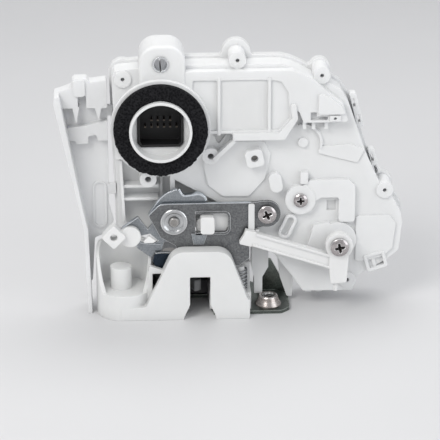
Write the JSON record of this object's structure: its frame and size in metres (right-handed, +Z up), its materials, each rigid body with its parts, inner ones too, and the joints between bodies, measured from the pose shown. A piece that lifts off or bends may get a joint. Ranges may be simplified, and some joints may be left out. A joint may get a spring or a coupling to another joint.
{
  "type": "door latch actuator",
  "caption": "Vehicle side-door latch with its power lock: steel mounting plate, fork and pawl, release levers, and a moulded case with motor, worm gear and sealed connector.",
  "frame": {"origin": "middle of the latched striker's wire, on the outer face of the steel mounting plate", "axes": "X runs along the mounting plate, from the guard to the motor case; -Y is the side that the striker comes from and the connector faces; +Z is up, square to the mounting plate"},
  "size_m": [0.1948, 0.061, 0.1563],
  "materials": {
    "pom_white": "natural white acetal, satin moulded",
    "lever_white": "white moulded lever, satin",
    "zinc_sheet": "zinc plated pressed sheet steel",
    "chromate_plate": "green-grey passivated sheet steel",
    "screw_steel": "bright zinc plated screws",
    "rivet_steel": "turned steel pins and rivets",
    "spring_steel": "drawn spring wire",
    "foam_black": "open-cell black sealing foam",
    "rubber_grey": "moulded rubber",
    "connector_black": "black glass-filled nylon",
    "contact_gold": "plated contact blades and strips",
    "fork_coat": "steel overmoulded in dark grey",
    "gear_nylon": "natural nylon gears",
    "motor_steel": "drawn motor can"
  },
  "bodies": {
    "root": {"face_plate": "chromate_plate", "latch_body": "pom_white", "back_plate": "zinc_sheet", "lever_bracket": "zinc_sheet", "fork_pin": "rivet_steel", "pawl_pin": "rivet_steel", "striker_bumper": "rubber_grey", "fork_spring": "spring_steel", "pawl_spring": "spring_steel", "return_spring": "spring_steel", "lever_rivet": "rivet_steel", "motor_can": "motor_steel", "motor_cap": "connector_black", "wheel_axle": "rivet_steel", "lever_axle": "rivet_steel", "front_housing": "pom_white", "rear_cover": "pom_white", "housing_seal": "rubber_grey", "connector_socket": "connector_black", "connector_pins": "contact_gold", "foam_ring": "foam_black", "top_bush": "screw_steel", "side_shield": "pom_white", "bracket_screw": "screw_steel", "retainer_screw": "screw_steel", "lever_screw": "screw_steel", "cover_screws": "screw_steel", "position_switch": "connector_black", "contact_strips": "contact_gold"},
    "fork_body": {"fork": "fork_coat"},
    "pawl_body": {"pawl": "zinc_sheet"},
    "outside_release": {"outside_lever": "zinc_sheet", "rod_clip": "lever_white"},
    "inside_release": {"inside_lever": "lever_white"},
    "worm_rotor": {"drive_worm": "gear_nylon", "motor_shaft": "rivet_steel"},
    "wheel_body": {"worm_wheel": "gear_nylon"},
    "lock_lever_body": {"lock_lever": "lever_white"},
    "link_body": {"lock_link": "lever_white"}
  },
  "joints": [
    {"name": "fork_turn", "type": "hinge", "parent": "root", "child": "fork_body", "pos_m": [-0.016, 0.008, 0.015], "axis": [0, 0, 1], "range_deg": [0, 42], "stiffness_Nm_per_rad": 0.01},
    {"name": "pawl_turn", "type": "hinge", "parent": "root", "child": "pawl_body", "pos_m": [0.017, 0.017, 0.015], "axis": [0, 0, 1], "range_deg": [-2, 10], "stiffness_Nm_per_rad": 0.01},
    {"name": "outside_release_turn", "type": "hinge", "parent": "root", "child": "outside_release", "pos_m": [-0.01405, -0.0117, 0.0553], "axis": [0, 1, 0], "range_deg": [0, 12], "stiffness_Nm_per_rad": 0.05},
    {"name": "inside_release_turn", "type": "hinge", "parent": "root", "child": "inside_release", "pos_m": [0.07765, -0.0187, 0.0411], "axis": [0, -1, 0], "range_deg": [0, 10], "stiffness_Nm_per_rad": 0.05},
    {"name": "wheel_turn", "type": "hinge", "parent": "root", "child": "wheel_body", "pos_m": [0.05765, 0.001, 0.0984], "axis": [0, 1, 0], "range_deg": [0, 47.73]},
    {"name": "worm_turn", "type": "hinge", "parent": "root", "child": "worm_rotor", "pos_m": [0.05765, 0.001, 0.1184], "axis": [1, 0, 0], "range_deg": [-577.8, 5]},
    {"name": "lock_lever_turn", "type": "hinge", "parent": "root", "child": "lock_lever_body", "pos_m": [0.03065, 0.008, 0.091], "axis": [0, -1, 0], "range_deg": [0, 13.03]},
    {"name": "link_slide", "type": "slide", "parent": "root", "child": "link_body", "axis": [1, 0, 0], "range_m": [0, 0.00725]}
  ],
  "couplings": [
    {"joint": "worm_turn", "follows": "wheel_turn", "ratio": -12},
    {"joint": "lock_lever_turn", "follows": "wheel_turn", "ratio": 0.27273},
    {"joint": "link_slide", "follows": "wheel_turn", "m_per_rad": 0.0086423}
  ]
}
